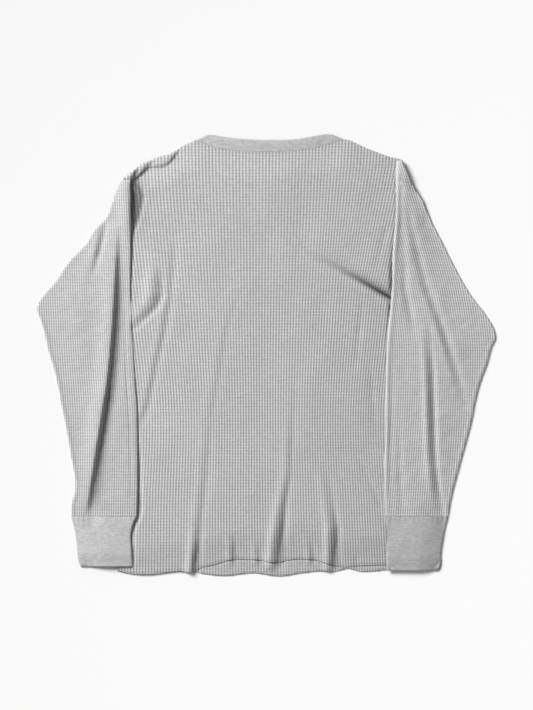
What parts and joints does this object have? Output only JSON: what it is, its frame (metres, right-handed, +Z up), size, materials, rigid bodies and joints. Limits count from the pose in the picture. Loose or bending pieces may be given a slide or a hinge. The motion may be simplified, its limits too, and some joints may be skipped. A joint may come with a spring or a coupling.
{
  "type": "thermal top",
  "caption": "Long-sleeved waffle-knit thermal top in heather grey, laid flat with its back up and both sleeves folded in over the back.",
  "frame": {"origin": "middle of the top's footprint, on the surface that it lies on", "axes": "+Z up from the surface, +Y from the hem towards the neck, +X from the garment's left sleeve towards its right as seen from above with its back up"},
  "size_m": [0.7284, 0.7023, 0.0123],
  "materials": {
    "body_knit": "heather grey cotton waffle knit, matte, small square pits between raised ribs",
    "front_knit": "inside of the heather grey waffle knit, matte, a little darker",
    "sleeve_knit": "heather grey cotton waffle knit, matte, its pits stretched finer than on the body",
    "cuff_rib": "heather grey doubled rib jersey, matte, streaked across",
    "neck_rib": "heather grey doubled rib jersey, matte"
  },
  "bodies": {
    "root": {"front_panel": "front_knit", "back_panel": "body_knit", "sleeve_left": "sleeve_knit", "sleeve_right": "sleeve_knit", "cuff_left": "cuff_rib", "cuff_right": "cuff_rib", "neck_band": "neck_rib"}
  },
  "joints": []
}
